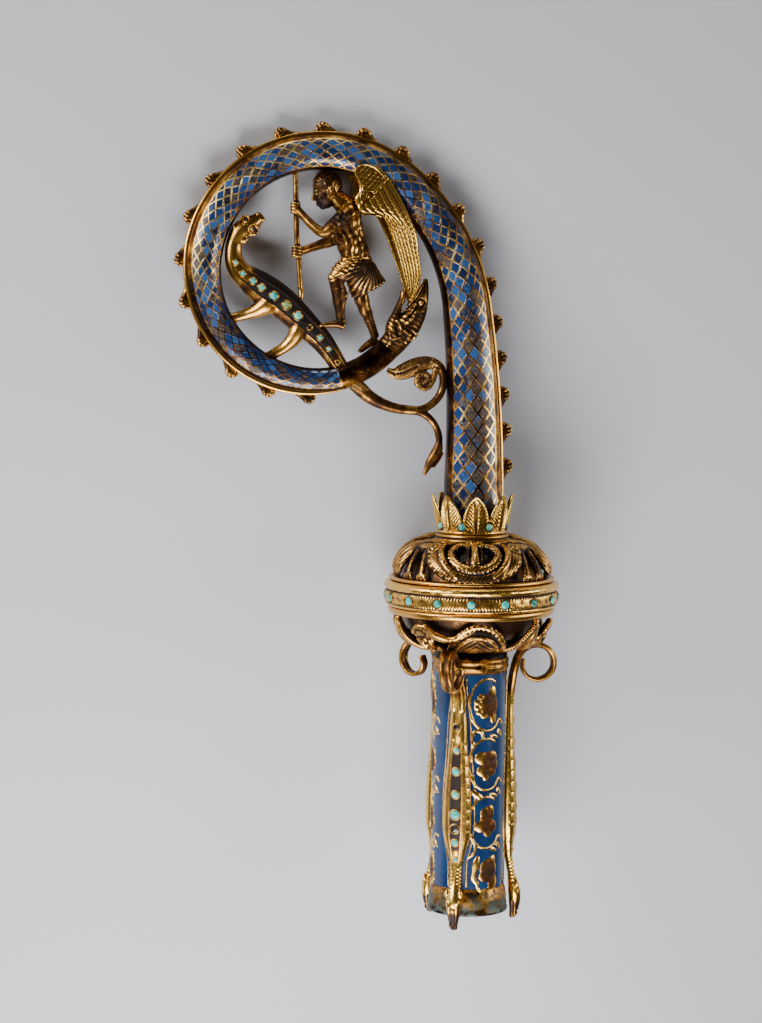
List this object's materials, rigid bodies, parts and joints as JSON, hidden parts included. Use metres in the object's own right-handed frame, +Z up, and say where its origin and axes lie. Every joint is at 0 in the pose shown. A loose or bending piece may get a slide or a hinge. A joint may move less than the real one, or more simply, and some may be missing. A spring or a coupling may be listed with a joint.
{
  "type": "crosier head",
  "caption": "Serpent-shaped crook with a pierced round knop, a crown of leaves and a tubular socket, curling round an angel that spears a dragon.",
  "frame": {"origin": "centre of the footprint's box, on the surface that the head lies on", "axes": "+Y along the staff axis towards the crook, +Z up out of the head's front, +X to the side away from the curl"},
  "size_m": [0.161, 0.3312, 0.0772],
  "materials": {
    "enamelled_copper": "blue champleve enamel between gilt copper lines, worn",
    "gilt_copper": "mercury-gilt copper, burnished, with brown patina in the hollows",
    "brown_gilt_copper": "cast copper whose gilding is worn to brown copper on the high places",
    "turquoise_bead": "polished turquoise-coloured glass bead"
  },
  "bodies": {
    "root": {"crook": "enamelled_copper", "angel": "brown_gilt_copper", "dragon": "brown_gilt_copper", "crown": "gilt_copper", "tail": "gilt_copper", "wing_front": "gilt_copper", "wing_back": "gilt_copper", "knop_upper": "brown_gilt_copper", "knop_lower": "brown_gilt_copper", "knop_band": "gilt_copper", "socket": "enamelled_copper", "neck_ring": "gilt_copper", "band_bead_1": "turquoise_bead", "band_bead_2": "turquoise_bead", "band_bead_3": "turquoise_bead", "band_bead_4": "turquoise_bead", "band_bead_5": "turquoise_bead", "band_bead_6": "turquoise_bead", "band_bead_7": "turquoise_bead", "band_bead_8": "turquoise_bead", "band_bead_9": "turquoise_bead", "band_bead_10": "turquoise_bead", "band_bead_11": "turquoise_bead", "band_bead_12": "turquoise_bead", "band_bead_13": "turquoise_bead", "band_bead_14": "turquoise_bead", "band_bead_15": "turquoise_bead", "band_bead_16": "turquoise_bead", "crown_bead_1": "turquoise_bead", "crown_bead_2": "turquoise_bead", "crown_bead_3": "turquoise_bead", "crown_bead_4": "turquoise_bead", "crown_bead_5": "turquoise_bead", "crown_bead_6": "turquoise_bead", "crown_bead_7": "turquoise_bead", "crown_bead_8": "turquoise_bead", "dragon_bead_1": "turquoise_bead", "dragon_bead_2": "turquoise_bead", "dragon_bead_3": "turquoise_bead", "dragon_bead_4": "turquoise_bead", "dragon_bead_5": "turquoise_bead", "dragon_bead_6": "turquoise_bead", "dragon_bead_7": "turquoise_bead", "dragon_bead_8": "turquoise_bead", "dragon_bead_9": "turquoise_bead", "dragon_bead_10": "turquoise_bead", "serpent_1": "gilt_copper", "serpent_2": "gilt_copper", "serpent_3": "gilt_copper"}
  },
  "joints": []
}
